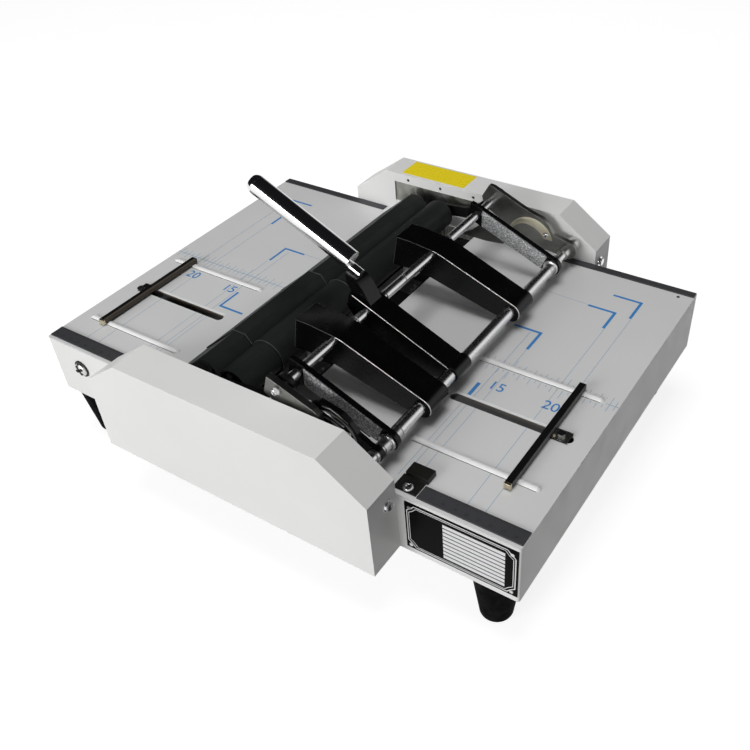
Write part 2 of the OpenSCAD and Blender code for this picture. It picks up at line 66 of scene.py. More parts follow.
# Camera, fitted to the printed marks, the edges of the base and the corners of the casings

AZIMUTH, ELEVATION, ROLL = 0.5980718969, 0.7048160511, -0.0510324858
TARGET_X, TARGET_Y, DISTANCE = 98.406898781, -64.780178370, 730.199268731
FOCAL, CENTRE_X, CENTRE_Y = 873.757337848, 426.782211841, 388.139240377  # pixels
PICTURE = 750
SENSOR = 36


def add_camera():
    back = Vector((math.sin(AZIMUTH) * math.cos(ELEVATION),
                   -math.cos(AZIMUTH) * math.cos(ELEVATION), math.sin(ELEVATION)))
    right = (-back).cross(Vector((0, 0, 1))).normalized()
    up = right.cross(-back)
    rolled_right = math.cos(ROLL) * right + math.sin(ROLL) * up
    rolled_up = -math.sin(ROLL) * right + math.cos(ROLL) * up
    m = Matrix((rolled_right, rolled_up, back)).transposed().to_4x4()
    m.translation = Vector((TARGET_X, TARGET_Y, TABLE_HEIGHT)) * S + back * DISTANCE * S
    cam = bpy.data.cameras.new("camera")
    cam.sensor_width = SENSOR
    cam.lens = FOCAL / PICTURE * SENSOR
    cam.shift_x = -(CENTRE_X - PICTURE / 2) / PICTURE
    cam.shift_y = (CENTRE_Y - PICTURE / 2) / PICTURE
    cam.clip_start = 0.02
    cam.clip_end = 30
    ob = bpy.data.objects.new("camera", cam)
    scene.collection.objects.link(ob)
    ob.matrix_world = m
    scene.camera = ob


add_camera()


# Shader helpers

def shader_of(m):
    """A material's node tree and its main shader."""
    m.use_nodes = True
    return m.node_tree, m.node_tree.nodes["Principled BSDF"]


def link(t, a, b):
    t.links.new(a, b)


def is_socket(v):
    return isinstance(v, bpy.types.NodeSocket)


def on_object(t, n, scale, stretch):
    """A texture node laid out in object space, stretched where asked."""
    co = t.nodes.new("ShaderNodeTexCoord")
    mp = t.nodes.new("ShaderNodeMapping")
    if stretch:
        mp.inputs["Scale"].default_value = stretch
    n.inputs["Scale"].default_value = scale
    link(t, co.outputs["Object"], mp.inputs["Vector"])
    link(t, mp.outputs["Vector"], n.inputs["Vector"])
    return n


def noise(t, scale, detail=2.0, rough=0.5, stretch=None):
    n = on_object(t, t.nodes.new("ShaderNodeTexNoise"), scale, stretch)
    n.inputs["Detail"].default_value = detail
    n.inputs["Roughness"].default_value = rough
    return n.outputs["Fac"]


def voronoi(t, scale, feature="F1", stretch=None):
    n = on_object(t, t.nodes.new("ShaderNodeTexVoronoi"), scale, stretch)
    n.feature = feature
    return n


def ramp(t, fac, stops):
    """Colours at positions along a factor."""
    r = t.nodes.new("ShaderNodeValToRGB")
    e = r.color_ramp.elements
    while len(e) < len(stops):
        e.new(0.5)
    for k, (position, colour) in enumerate(stops):
        e[k].position = position
        e[k].color = (*colour, 1)
    link(t, fac, r.inputs["Fac"])
    return r.outputs["Color"]


def remap(t, fac, a, b, lo=0.25, hi=0.75, curve="LINEAR"):
    """A value from lo to hi carried over to a to b. Noise mostly stays in the default span."""
    m = t.nodes.new("ShaderNodeMapRange")
    m.interpolation_type = curve
    m.inputs["From Min"].default_value = lo
    m.inputs["From Max"].default_value = hi
    m.inputs["To Min"].default_value = a
    m.inputs["To Max"].default_value = b
    link(t, fac, m.inputs["Value"])
    return m.outputs["Result"]


def mix(t, fac, a, b):
    """A colour mix of sockets, numbers or colours."""
    m = t.nodes.new("ShaderNodeMix")
    m.data_type = "RGBA"
    for sock, v in ((m.inputs[0], fac), (m.inputs[6], a), (m.inputs[7], b)):
        if is_socket(v):
            link(t, v, sock)
        elif isinstance(v, (int, float)):
            sock.default_value = v
        else:
            sock.default_value = (*v, 1)
    return m.outputs[2]


def maths(t, operation, *values):
    """A math node fed by sockets or plain numbers."""
    m = t.nodes.new("ShaderNodeMath")
    m.operation = operation
    for sock, v in zip(m.inputs, values):
        if is_socket(v):
            link(t, v, sock)
        else:
            sock.default_value = v
    return m.outputs[0]


def bump(t, sh, height, strength, dist, under=None):
    """Surface relief, over another relief where given."""
    b = t.nodes.new("ShaderNodeBump")
    b.inputs["Strength"].default_value = strength
    b.inputs["Distance"].default_value = dist
    link(t, height, b.inputs["Height"])
    if under:
        link(t, under, b.inputs["Normal"])
    link(t, b.outputs["Normal"], sh.inputs["Normal"])
    return b.outputs["Normal"]


def shade(colour, k):
    return tuple(min(1.0, v * k) for v in colour)


# Materials

MATS = {}


def new_mat(name):
    MATS[name] = bpy.data.materials.new(name)
    return shader_of(MATS[name])


def paint(name, col, rough, peel=0.12, dirt=0.05, spec=0.5, fleck=0.0):
    """Sprayed paint: orange peel, faint clouding and fine dust."""
    t, sh = new_mat(name)
    c = ramp(t, noise(t, 9, 3), [(0.3, shade(col, 1 - dirt)), (0.7, shade(col, 1 + dirt * 0.4))])
    if fleck:
        c = mix(t, remap(t, noise(t, 2600, 1), 0.0, fleck, 0.62, 0.74), c, (0.55, 0.55, 0.55))
    link(t, c, sh.inputs["Base Color"])
    r = remap(t, noise(t, 60, 4), rough * 0.82, min(1, rough * 1.2))
    link(t, r, sh.inputs["Roughness"])
    sh.inputs["Specular IOR Level"].default_value = spec
    grain = bump(t, sh, noise(t, 1400, 2), peel, 0.0002)
    bump(t, sh, noise(t, 25, 2), 0.05, 0.002, grain)


def metal(name, col, rough, brush=None, var=0.08, scratch=0.15, relief=0.12, scale=500,
          spots=0.0):
    """Bare or plated metal with brushing, smudges and fine scratches."""
    t, sh = new_mat(name)
    sh.inputs["Metallic"].default_value = 1.0
    c = ramp(t, noise(t, 40, 4), [(0.3, shade(col, 1 - var)), (0.7, shade(col, 1 + var))])
    if spots:
        c = mix(t, remap(t, noise(t, 420, 3), 0.0, spots, 0.6, 0.72), c, shade(col, 0.35))
    link(t, c, sh.inputs["Base Color"])
    grain = noise(t, scale, 3, 0.6, stretch=brush)
    smudged = mix(t, 0.5, grain, noise(t, 35, 3))
    r = remap(t, smudged, rough * (1 - scratch), rough * (1 + scratch * 2))
    link(t, r, sh.inputs["Roughness"])
    bump(t, sh, grain, relief, 0.0001)


def spangle(name, col):
    """Zinc-plated sheet with its crystal pattern."""
    t, sh = new_mat(name)
    sh.inputs["Metallic"].default_value = 1.0
    crystals = voronoi(t, 140).outputs["Color"]
    c = ramp(t, crystals, [(0.1, shade(col, 0.8)), (0.9, shade(col, 1.12))])
    c = mix(t, remap(t, noise(t, 30, 3), 0.0, 0.45), c, shade(col, 0.72))
    link(t, c, sh.inputs["Base Color"])
    link(t, remap(t, crystals, 0.28, 0.5, 0, 1), sh.inputs["Roughness"])
    bump(t, sh, noise(t, 600, 2), 0.08, 0.0002)


def hammer(name, col):
    """Silver hammered finish: closely packed shallow dents."""
    t, sh = new_mat(name)
    sh.inputs["Metallic"].default_value = 0.85
    dents = voronoi(t, 950, "SMOOTH_F1", (0.8, 1, 1.25)).outputs["Distance"]
    fine = noise(t, 3000, 2)
    c = ramp(t, dents, [(0.15, shade(col, 1.15)), (0.55, shade(col, 0.42))])
    link(t, c, sh.inputs["Base Color"])
    link(t, remap(t, fine, 0.28, 0.5), sh.inputs["Roughness"])
    bump(t, sh, mix(t, 0.3, dents, fine), 1.0, 0.0010)


def rubber(name, col, rough, grain=900, strength=0.25):
    """Matt rubber with dust in its grain."""
    t, sh = new_mat(name)
    dust = remap(t, noise(t, 70, 5, 0.65), 0.0, 0.35, 0.5, 0.8)
    link(t, mix(t, dust, col, (0.030, 0.030, 0.029)), sh.inputs["Base Color"])
    r = remap(t, noise(t, 200, 3), rough * 0.85, min(1, rough * 1.15))
    link(t, r, sh.inputs["Roughness"])
    sh.inputs["Specular IOR Level"].default_value = 0.02
    bump(t, sh, noise(t, grain, 3), strength, 0.0003)


def ink(name, col, rough=0.45):
    """Screen-printed ink, thin in places."""
    t, sh = new_mat(name)
    thin = tuple(v + (1 - v) * 0.04 for v in col)
    c = ramp(t, noise(t, 800, 3), [(0.3, shade(col, 0.9)), (0.7, thin)])
    link(t, c, sh.inputs["Base Color"])
    link(t, remap(t, noise(t, 300, 2), rough * 0.85, rough * 1.2), sh.inputs["Roughness"])
    bump(t, sh, noise(t, 2000, 2), 0.05, 0.0001)


paint("white_paint", (0.80, 0.80, 0.79), 0.38, peel=0.1, dirt=0.03, spec=0.25)
paint("table_paint", (0.68, 0.685, 0.68), 0.36, peel=0.05, dirt=0.03, spec=0.45)
paint("black_paint", (0.006, 0.006, 0.006), 0.36, dirt=0.2, spec=0.15, fleck=0.015)
paint("gloss_black", (0.0018, 0.0018, 0.0020), 0.26, peel=0.05, dirt=0.1, spec=0.26, fleck=0.004)
paint("cover_black", (0.0165, 0.0190, 0.0180), 0.5, peel=0.15, dirt=0.18, spec=0.2, fleck=0.03)
paint("plate_black", (0.0025, 0.0025, 0.0028), 0.35, dirt=0.1, spec=0.02)
paint("ruler_black", (0.052, 0.053, 0.058), 0.45, peel=0.1, dirt=0.12, spec=0.25)
paint("black_plastic", (0.012, 0.012, 0.011), 0.42, peel=0.25, dirt=0.2, spec=0.3, fleck=0.03)
spangle("zinc", (0.50, 0.50, 0.46))
metal("bright_steel", (0.60, 0.60, 0.59), 0.27, brush=(1, 8, 1), spots=0.15)
metal("chrome", (0.80, 0.80, 0.81), 0.10, var=0.02, scratch=0.3, relief=0.01, scale=600)
metal("link_steel", (0.22, 0.22, 0.208), 0.34, brush=(1, 1, 4), var=0.25, spots=0.3)
metal("brass", (0.50, 0.46, 0.36), 0.34, var=0.2, spots=0.4)
metal("satin_chrome", (0.74, 0.74, 0.74), 0.26, var=0.03, scratch=0.1, relief=0.008, scale=900)
# painted shade: a darker copy of the link steel for parts that sit in shade
metal("link_steel_painted_shade", (0.11, 0.11, 0.105), 0.32, brush=(1, 1, 4), var=0.3, spots=0.3)
# painted highlights: thin bars in these two finishes stand for light caught on rounded edges
paint("painted_dim_highlight", (0.075, 0.075, 0.075), 0.4, dirt=0.2, spec=0.3)
metal("painted_edge_highlight", (0.85, 0.85, 0.85), 0.35, var=0.08)
paint("cream_plate", (0.66, 0.62, 0.48), 0.4, dirt=0.2, spec=0.4)
metal("cap_brass", (0.62, 0.55, 0.40), 0.45, var=0.15)
paint("taupe", (0.085, 0.070, 0.055), 0.5, dirt=0.15, spec=0.2)
paint("dark_grey", (0.10, 0.10, 0.098), 0.45, dirt=0.15, spec=0.2)
# painted highlight: white for the lit tops of the beads and the lit far edges of the stop slots
paint("painted_highlight_white", (0.82, 0.82, 0.82), 0.3, peel=0.04, dirt=0.02)
# dark seams and screws, and also painted shade in recesses, holes and on the near window facing
paint("seam_dark_and_painted_shade", (0.03, 0.03, 0.03), 0.6, dirt=0.1, spec=0.1)
hammer("hammered", (0.82, 0.83, 0.84))
rubber("rubber", (0.0028, 0.0028, 0.003), 0.75)
rubber("roller_rubber", (0.012, 0.012, 0.013), 0.7, 1500, 0.3)
ink("blue_ink", (0.035, 0.235, 0.60))
ink("pale_blue_ink", (0.20, 0.36, 0.58))
ink("ruler_ink", (0.010, 0.010, 0.011), 0.7)
ink("silver_ink", (0.78, 0.78, 0.79), 0.3)
ink("label_yellow", (1.0, 0.80, 0.0), 0.28)


SLOT_REACH = 5.4  # each way from the middle of a slot
EDGE_DEPTHS = (0.75, 0.35)  # bare below the first, painted above the second
WALL_SHADE_DEPTHS = (5.0, 1.5)  # painted shade, near black, below the first; bare taupe edge above the second


def darken_slots(mat):
    """Unpainted folded edges inside the two stop slots, with painted shade that deepens to near
    black lower down.
    """
    t, sh = shader_of(MATS[mat])
    painted = sh.inputs["Base Color"].links[0].from_socket
    co = t.nodes.new("ShaderNodeTexCoord")
    place = t.nodes.new("ShaderNodeSeparateXYZ")
    link(t, co.outputs["Object"], place.inputs[0])
    in_reach = [maths(t, "COMPARE", place.outputs["Y"], y * S, SLOT_REACH * S)
                for y in SLOT_Y.values()]

    def depth(deep, shallow):
        return remap(t, place.outputs["Z"], 1.0, 0.0, (TABLE_HEIGHT - deep) * S,
                     (TABLE_HEIGHT - shallow) * S)

    in_slot = maths(t, "MULTIPLY", maths(t, "MAXIMUM", *in_reach), depth(*EDGE_DEPTHS))
    # painted shade: the walls run from bare taupe near the top to near black deep down, where
    # shade falls
    wall = ramp(t, depth(*WALL_SHADE_DEPTHS),
                [(0.0, (0.085, 0.070, 0.055)), (1.0, (0.008, 0.007, 0.006))])
    link(t, mix(t, in_slot, painted, wall), sh.inputs["Base Color"])


darken_slots("table_paint")


# Looks and softened edges of the CAD parts

LOOK = {"left_roller": "roller_rubber", "right_roller": "roller_rubber",
        "front_shaft": "satin_chrome", "rear_shaft": "satin_chrome",
        "shaft_collars": "satin_chrome"}
BEVELS = {"near_housing": 1.5, "far_housing": 1.2, "base_tray": 0.7, "right_table": 0.6,
          "left_table": 0.6, "cover_near": 0.35, "cover_middle": 0.35, "cover_far": 0.35,
          "near_arm": 0.9, "far_arm": 0.9, "press_lever": 0.9, "handle_socket": 1.0,
          "handle_tube": 0.5, "handle_cap": 0.6, "rubber_feet": 0.0, "left_gear": 0.1,
          "right_gear": 0.1, "side_guide": 0.5, "right_stop": 0.3, "left_stop": 0.3,
          "link_pads": 0.2, "rail_screws": 0.08, "plate_rivets": 0.3, "nameplate": 0.2,
          "housing_bolts": 0.3, "side_screws": 0.15, "anvil_plates": 0.1,
          "shaft_collars": 0.3, "front_shaft": 0.4, "rear_shaft": 0.4}
PLAIN_BEVEL = 0.25
FLAT_SHEETS = ("far_housing", "near_housing")
CAD_EDGE_ANGLE = 28
PIECE_EDGE_ANGLE = 35


def soften(ob, width, angle):
    """Rounded edges, in millimetres, where faces meet at more than an angle."""
    b = ob.modifiers.new("soft_edges", "BEVEL")
    b.width = width * S
    b.segments = 2
    b.limit_method = "ANGLE"
    b.angle_limit = math.radians(angle)
    return b


def weigh_normals(ob):
    ob.modifiers.new("normals", "WEIGHTED_NORMAL").keep_sharp = True


for name, ob in nodes.items():
    mesh = ob.data
    mesh.materials.clear()
    mesh.materials.append(MATS[LOOK.get(name, SLOT[name])])
    if "custom_normal" in mesh.attributes:
        mesh.attributes.remove(mesh.attributes["custom_normal"])
    for p in mesh.polygons:
        p.use_smooth = True
    if name in FLAT_SHEETS:
        d = ob.modifiers.new("flat_faces", "DECIMATE")
        d.decimate_type = "DISSOLVE"
        d.angle_limit = math.radians(0.4)
    ob.modifiers.new("weld", "WELD").merge_threshold = 0.00001
    width = BEVELS.get(name, PLAIN_BEVEL)
    if width:
        soften(ob, width, CAD_EDGE_ANGLE).loop_slide = False
    weigh_normals(ob)


# Mesh pieces

AROUND = 28  # vertices around a turned form
BAR_SIDES = 8
SCREW_TURN = 0.3


def circle_points(centre, r, start, end, step):
    """Points of a circle at whole degrees from start to just before end."""
    return [(centre[0] + r * math.cos(math.radians(a)), centre[1] + r * math.sin(math.radians(a)))
            for a in range(start, end, step)]


class Form:
    """Collects geometry for one piece, in millimetres about the staple line and table top."""

    def __init__(self):
        self.bm = bmesh.new()

    def loop(self, pts):
        return [self.bm.verts.new(P(*p)) for p in pts]

    def ring(self, o, u, v, r, n):
        """A circle of n vertices about o in the plane of u and v."""
        turns = [k * math.tau / n for k in range(n)]
        return self.loop(o + (u * math.cos(a) + v * math.sin(a)) * r for a in turns)

    def walls(self, a, b):
        """Four-sided faces between two closed loops."""
        for i in range(len(a)):
            k = (i + 1) % len(a)
            self.bm.faces.new([a[i], b[i], b[k], a[k]])

    def fill(self, loops, normal):
        """Flat faces between an outer loop and the loops inside it."""
        edges = [self.bm.edges.new((loop[i], loop[(i + 1) % len(loop)]))
                 for loop in loops for i in range(len(loop))]
        bmesh.ops.triangle_fill(self.bm, use_beauty=True, edges=edges, normal=normal)

    def loft(self, a, b):
        """A closed solid between two matching loops of points."""
        a, b = self.loop(a), self.loop(b)
        self.bm.faces.new(a)
        self.bm.faces.new(b[::-1])
        self.walls(a, b)

    def box(self, a, b):
        (x0, y0, z0), (x1, y1, z1) = a, b
        base = ((x0, y0), (x1, y0), (x1, y1), (x0, y1))
        self.loft([(x, y, z0) for x, y in base], [(x, y, z1) for x, y in base])

    def prism(self, pts, y0, y1):
        """An XZ outline carried from y0 to y1."""
        self.loft([(x, y0, z) for x, z in pts], [(x, y1, z) for x, z in pts])

    def pierced_plate(self, outer, holes, y0, y1):
        """An XZ outline with windows through it, carried from y0 to y1."""
        ends = []
        for y in (y0, y1):
            ends.append([self.loop((x, y, z) for x, z in loop) for loop in [outer] + holes])
            self.fill(ends[-1], (0, -1, 0))
        for a, b in zip(*ends):
            self.walls(a, b)

    def lathe(self, origin, axis, profile, n=AROUND):
        """A turned form: profile is (distance along the axis, radius)."""
        ax = Vector(axis).normalized()
        u = ax.orthogonal().normalized()
        v = ax.cross(u)
        rings = []
        for d, r in profile:
            o = Vector(origin) + ax * d
            rings.append(self.ring(o, u, v, r, n) if r else self.loop([o]))
        for a, b in zip(rings, rings[1:]):
            if len(a) == len(b):
                self.walls(a, b)
                continue
            for k in range(n):
                q = (k + 1) % n
                self.bm.faces.new([a[0], b[k], b[q]] if len(a) == 1 else [a[k], b[0], a[q]])

    def screw(self, origin, axis, r, h, slotted=False):
        """A domed screw head with a sunk cross or slot."""
        ax = Vector(axis).normalized()
        u = ax.orthogonal().normalized()
        v = ax.cross(u)
        o = Vector(origin)
        rim = (h * 0.97, r * 0.6)
        self.lathe(origin, axis, [(0, r), (h * 0.35, r), (h * 0.75, r * 0.86), rim])
        w, q = r * 0.11, r * 0.5
        cut = [(q, w), (w, w), (w, q), (-w, q), (-w, w), (-q, w), (-q, -w), (-w, -w), (-w, -q),
               (w, -q), (w, -w), (q, -w)]
        if slotted:
            q = r * 0.56
            cut = [(q, w), (-q, w), (-q, -w), (q, -w)]
        c, s = math.cos(SCREW_TURN), math.sin(SCREW_TURN)
        cut = [o + u * (a * c - b * s) + v * (a * s + b * c) for a, b in cut]
        top = self.loop(p + ax * h * 0.98 for p in cut)
        low = self.loop(p + ax * h * 0.35 for p in cut)
        self.fill([self.ring(o + ax * rim[0], u, v, rim[1], AROUND), top], ax)
        self.walls(top, low)
        self.bm.faces.new(low)

    def edge_line(self, pts, y, r):
        """A fine round bar along XZ points at one depth."""
        pts = [Vector((x, y, z)) for x, z in pts]
        rings = []
        up = None
        for i, p in enumerate(pts):
            d = (pts[min(i + 1, len(pts) - 1)] - pts[max(i - 1, 0)]).normalized()
            if up is None:
                up = d.orthogonal().normalized()
            up = (up - d * up.dot(d)).normalized()
            rings.append(self.ring(p, up, d.cross(up), r, BAR_SIDES))
        for a, b in zip(rings, rings[1:]):
            self.walls(a, b)
        self.bm.faces.new(rings[0][::-1])
        self.bm.faces.new(rings[-1])

    def make(self, name, mat, body=BASE, smooth=True, bevel=0.0):
        """The finished piece, riding on its body."""
        bmesh.ops.recalc_face_normals(self.bm, faces=self.bm.faces)
        mesh = bpy.data.meshes.new(name)
        self.bm.to_mesh(mesh)
        self.bm.free()
        ob = bpy.data.objects.new(name, mesh)
        scene.collection.objects.link(ob)
        mesh.materials.append(MATS[mat])
        for p in mesh.polygons:
            p.use_smooth = smooth
        if bevel:
            soften(ob, bevel, PIECE_EDGE_ANGLE)
        if smooth:
            weigh_normals(ob)
        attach(ob, body)
        return ob


def strip(a, b, w):
    """The four corners of a straight line from a to b of width w."""
    a, b = Vector(a), Vector(b)
    d = (b - a).normalized()
    n = Vector((-d.y, d.x)) * w / 2
    return [a - n, b - n, b + n, a + n]


def flat_line(form, a, b, w, z=0.0):
    """A printed line from a to b of width w, as a thin raised strip."""
    corners = strip(a, b, w)
    form.loft([(p.x, p.y, z) for p in corners], [(p.x, p.y, z + 0.05) for p in corners])


GUIDE_W = 0.34


def guide_line(form, x, y_far, y_near):
    """A fine printed line across the table, broken at the stop slot."""
    side = "right" if x > 0 else "left"
    x0, x1 = SLOT_X[side]
    if x0 - 1 < x < x1 + 1:
        flat_line(form, (x, y_far), (x, SLOT_Y[side] + 7.0), GUIDE_W)
        flat_line(form, (x, SLOT_Y[side] - 4.6), (x, y_near), GUIDE_W)
    else:
        flat_line(form, (x, y_far), (x, y_near), GUIDE_W)


def corner(form, x, y, arm_x, arm_y, w):
    """A right-angled sheet-corner mark whose outer corner is at x, y."""
    sx, sy = math.copysign(1, arm_x), math.copysign(1, arm_y)
    flat_line(form, (x, y + sy * w / 2), (x + arm_x, y + sy * w / 2), w)
    flat_line(form, (x + sx * w / 2, y + sy * w), (x + sx * w / 2, y + arm_y), w)


def number(text, x, y, z, size, mat, name, body=BASE):
    """A plain numeral lying on a surface."""
    c = bpy.data.curves.new(name, "FONT")
    c.body = text
    c.size = size * S
    c.align_x = "CENTER"
    c.align_y = "CENTER"
    c.extrude = 0.02 * S
    c.offset = 0.00006
    ob = bpy.data.objects.new(name, c)
    scene.collection.objects.link(ob)
    ob.matrix_world = Matrix.Translation(P(x, y, z))
    c.materials.append(MATS[mat])
    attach(ob, body)


# Printed sheet marks and scales on the tables

CORNERS = ((210, 138.0, -29, -29, 2.7), (195, 111.8, -28, -28, 2.7), (150, 51.3, -28, -28, 2.7),
           (-209, 138.0, 29, -29, 2.4), (-195, 111.8, 28, -28, 2.4),
           (-148.5, 52.6, 26, -27, 2.4), (-137.3, -61.5, 29, 27, 2.4))
f = Form()
for mark in CORNERS:
    corner(f, *mark)
flat_line(f, (135, -37.0), (135, -54.5), 3.2)
f.make("sheet_corner_marks", "blue_ink", smooth=False)

GUIDES = ((210, 109), (195, 84), (148.6, 23), (139.7, 47))  # distance out, far end
NEAR_END = -159.5
RIGHT_SCALE_Y = -8.5
LEFT_SCALE_Y = -6.5
FINE_LINES = (((135, -66.6), (135, NEAR_END), GUIDE_W), ((-135, -79.8), (-135, -160), GUIDE_W),
              ((237, -8.9), (247.6, -8.9), 0.5),
              ((-243.6, LEFT_SCALE_Y), (-101, LEFT_SCALE_Y), 0.5),
              ((100, 113.5), (167, 111), 0.3), ((26, 53), (100, 53), 0.3),
              ((-122, 52), (-99, 52), 0.3), ((20, -75), (60, -75), 0.3))
RIGHT_SCALE_END = 236  # beyond the bead, ticks run across the scale
LEFT_SCALE_END = 243
f = Form()
for x, y in GUIDES:
    guide_line(f, x, y, NEAR_END)
    guide_line(f, -x, y, NEAR_END if x > 150 else -167)
for a, b, w in FINE_LINES:
    flat_line(f, a, b, w)
for x in range(110, 246, 5):
    reach = 13 if x % 50 == 0 else 9.5 if x % 10 == 0 else 5.5
    if x < RIGHT_SCALE_END:
        above, below = RIGHT_SCALE_Y + 5.5, RIGHT_SCALE_Y - 3.2
        flat_line(f, (x, above), (x, above + max(1.5, reach - 5)), 0.4)
        flat_line(f, (x, below), (x, below + 2.5 - reach), 0.4)
    else:
        flat_line(f, (x, RIGHT_SCALE_Y + reach), (x, RIGHT_SCALE_Y - reach), 0.4)
    if x < LEFT_SCALE_END:
        flat_line(f, (-x, LEFT_SCALE_Y + reach * 0.8), (-x, LEFT_SCALE_Y - reach * 0.72), 0.4)
f.make("scale_and_guide_lines", "pale_blue_ink", smooth=False)
for text, x, y in (("15", 150.5, -34.5), ("20", 200.0, -34.5),
                   ("15", -148.3, -34.0), ("20", -197.7, -33.0)):
    side = "right" if x > 0 else "left"
    number(text, x, y, 0.03, 15, "blue_ink", f"scale_{side}_{text}")

# Ruler ticks and plain numerals on the dark strips

RULER_TOP = 1.2
NEAR_TICKS = (5.0, 3.6, 2.2)  # at every 10, 5 and 1 mm
FAR_TICKS = (3.6, 2.6, 1.6)


def tick(mm, lengths):
    return lengths[0 if mm % 10 == 0 else 1 if mm % 5 == 0 else 2]


f = Form()
for x0, x1 in ((161, 246), (-243, -147)):
    y = NEAR_RULER_EDGE - 0.3
    for mm in range(x0, x1 + 1):
        flat_line(f, (mm, y), (mm, y - tick(mm, NEAR_TICKS)), 0.22, RULER_TOP)
for x0, x1 in ((147, 246), (-243, -147)):
    y = FAR_RULER_Y[0] + 0.3
    for mm in range(x0, x1 + 1, 2):
        flat_line(f, (mm, y), (mm, y + tick(mm, FAR_TICKS)), 0.22, RULER_TOP)
f.make("ruler_ticks", "ruler_ink", smooth=False)
for side, sign, first in (("right", 1, 17), ("left", -1, 15)):
    for i in range(first, 25):
        number(str(i), sign * i * 10, -169.3, RULER_TOP + 0.02, 3.7, "ruler_ink",
               f"ruler_{side}_{i}")

# Nameplate: blank rows and a double frame, no words

PLATE_Y = -177.3
PLATE_BOX = (151.5, 246.5, -54.0, -3.5)  # x from and to, z from and to
PLATE_FRAMES = ((2.0, 0.90), (3.7, 0.56))  # inset, line width
CUT = 6.5
f = Form()
for i in range(9):
    z = -10.6 - i * 4.25
    f.box((184.5, PLATE_Y - 0.06, z - 3.2), (236.0, PLATE_Y + 0.01, z))
f.make("plate_blank_rows", "silver_ink", smooth=False)


def cut_cornered(x0, x1, z0, z1, c):
    """A rectangle with each corner cut by two short sides."""
    k = c * 0.55
    return [(x0 + c, z0), (x1 - c, z0), (x1 - k, z0 + k), (x1, z0 + c), (x1, z1 - c),
            (x1 - k, z1 - k), (x1 - c, z1), (x0 + c, z1), (x0 + k, z1 - k), (x0, z1 - c),
            (x0, z0 + c), (x0 + k, z0 + k)]


f = Form()
for inset, w in PLATE_FRAMES:
    x0, x1, z0, z1 = PLATE_BOX
    pts = cut_cornered(x0 + inset, x1 - inset, z0 + inset, z1 - inset, CUT)
    for a, b in zip(pts, pts[1:] + pts[:1]):
        f.prism(strip(a, b, w), PLATE_Y - 0.05, PLATE_Y + 0.01)
f.make("plate_frame_lines", "silver_ink", smooth=False)

# Blank yellow patch on the far housing, and a small screw at the end of the right table

f = Form()
f.box((-84, 180, 43.95), (-8, 208.5, 44.1))
f.make("blank_patch", "label_yellow", bevel=0.04)
f = Form()
f.lathe((234.2, 162.8, 0), (0, 0, 1), [(0, 1.5), (0.3, 1.3), (0.3, 0)])
f.make("table_end_screw", "seam_dark_and_painted_shade")

# Painted highlights: white caps on the tops of the raised beads, and strips along the far edge of
# each stop slot

BEADS = ((117, 235, -7), (120.6, 235, -120.5), (-235, -117, -20.5), (-233, -118, -133))
BEAD_CENTRE_Z = -2.2
BEAD_R = 3.45
CAP_R = 3.75
BEAD_END = 3  # left bare at each end
f = Form()
for x0, x1, y in BEADS:
    section = circle_points((y, BEAD_CENTRE_Z), CAP_R, 38, 146, 8)
    section += circle_points((y, BEAD_CENTRE_Z), BEAD_R, 38, 146, 8)[::-1]
    f.loft([(x0 + BEAD_END, *p) for p in section], [(x1 - BEAD_END, *p) for p in section])
for side, (x0, x1) in SLOT_X.items():
    y = SLOT_Y[side]
    f.box((x0 + 2, y + 4.35, 0), (x1 - 2, y + 6.9, 0.08))
f.make("bead_highlights", "painted_highlight_white")
# Painted shadow: a dark line along the near foot of each bead
f = Form()
for x0, x1, y in BEADS:
    flat_line(f, (x0 + BEAD_END, y - 3.3), (x1 - BEAD_END, y - 3.3), 0.55)
f.make("bead_shadow_lines", "dark_grey", smooth=False)

# Stop bars: side strips, end caps, slide plates and nubs

STOPS = {"right": dict(x=213.0, y0=-130.5, y1=-1.5, out=1, plate=17.5, strip=2.7, mat="dark_grey"),
         "left": dict(x=-211.5, y0=-137.0, y1=-15.0, out=-1, plate=15.0, strip=1.2, mat="taupe")}
for side, stop in STOPS.items():
    body = BODY[side + "_stop"]
    x, y0, y1, out, foot = stop["x"], stop["y0"], stop["y1"], stop["out"], SLOT_Y[side]
    f = Form()
    f.box((x + stop["strip"], y0 + 0.4, 2.0), (x + 3.15, y1 - 0.4, 6.3))
    f.make(side + "_stop_strip", stop["mat"], body, bevel=0.1)
    f = Form()
    f.box((x - 3.1, y0 - 2.6, 1.3), (x + 3.1, y0 + 0.05, 6.4))
    f.make(side + "_stop_cap", "cap_brass", body, bevel=0.5)
    f = Form()
    a, b = sorted((x + out * 3.4, x + out * stop["plate"]))
    f.box((a, foot - 6.2, 1.68), (b, foot + 6.2, 1.79))
    f.make(side + "_slide_plate", "zinc", body, bevel=0.03)
    f = Form()
    f.screw((x + out * 4.9, foot - 3.4, 1.75), (0, 0, 1), 1.5, 1.3, slotted=True)
    f.make(side + "_stop_nub", "cap_brass", body)

# Large screw heads on both long faces of the base, with black crosses that are painted shade for
# their recesses, and the guide's screw

